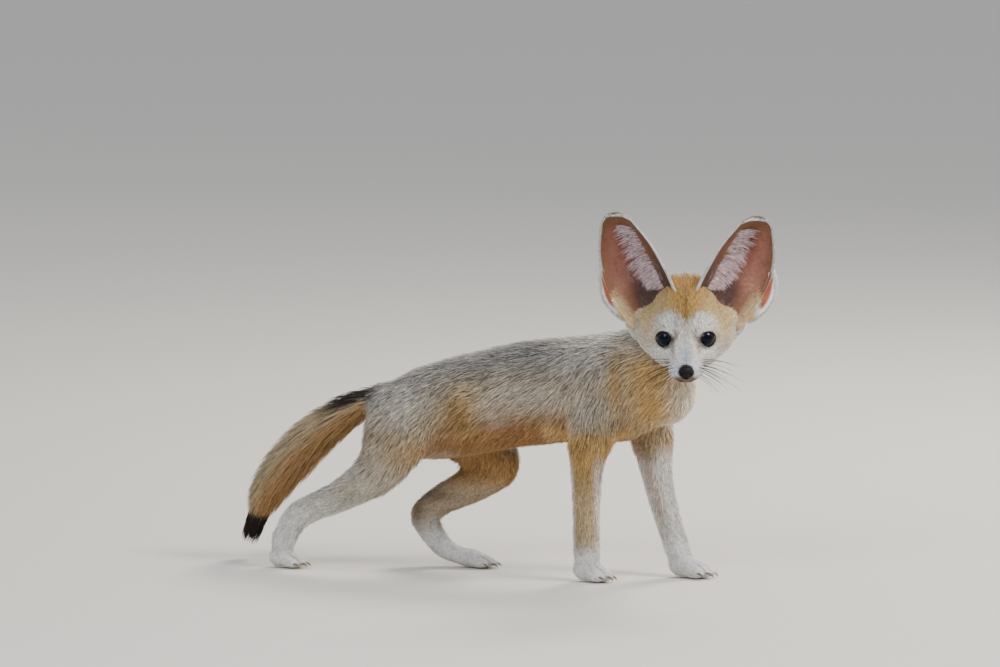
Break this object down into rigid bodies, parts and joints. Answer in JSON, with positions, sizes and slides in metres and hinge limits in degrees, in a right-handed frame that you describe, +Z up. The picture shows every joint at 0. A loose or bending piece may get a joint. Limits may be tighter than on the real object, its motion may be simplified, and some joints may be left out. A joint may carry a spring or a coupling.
{
  "type": "fennec fox model",
  "caption": "Life-size still model of a standing fennec fox with large cupped ears, its head turned to its right and its bushy tail hanging.",
  "frame": {"origin": "on the floor, under the middle of the box round the whole animal", "axes": "+X is the way the body faces, +Y its left side, +Z up"},
  "size_m": [0.4748, 0.1326, 0.3095],
  "materials": {
    "coat": "short dense matt fur, pale sandy buff with a grey grizzle",
    "face_coat": "short matt fur, white face and golden crown",
    "leg_coat": "short matt fur, golden buff to white",
    "ear_coat": "thin skin, pinkish brown inside, with fine white hair and a white rim",
    "tail_coat": "long soft fur, sandy with a black tip",
    "eye": "glossy, near black brown",
    "nose_skin": "fine-grained, moist, near black"
  },
  "bodies": {
    "root": {"torso": "coat", "neck": "coat", "head": "face_coat", "nose": "nose_skin", "ear_left": "ear_coat", "ear_right": "ear_coat", "eye_left": "eye", "eye_right": "eye", "upper_foreleg_left": "coat", "upper_foreleg_right": "coat", "forearm_left": "leg_coat", "forearm_right": "leg_coat", "forepaw_left": "leg_coat", "forepaw_right": "leg_coat", "thigh_left": "coat", "thigh_right": "coat", "shank_left": "leg_coat", "shank_right": "leg_coat", "metatarsus_left": "leg_coat", "metatarsus_right": "leg_coat", "hindpaw_left": "leg_coat", "hindpaw_right": "leg_coat", "tail": "tail_coat"}
  },
  "joints": []
}
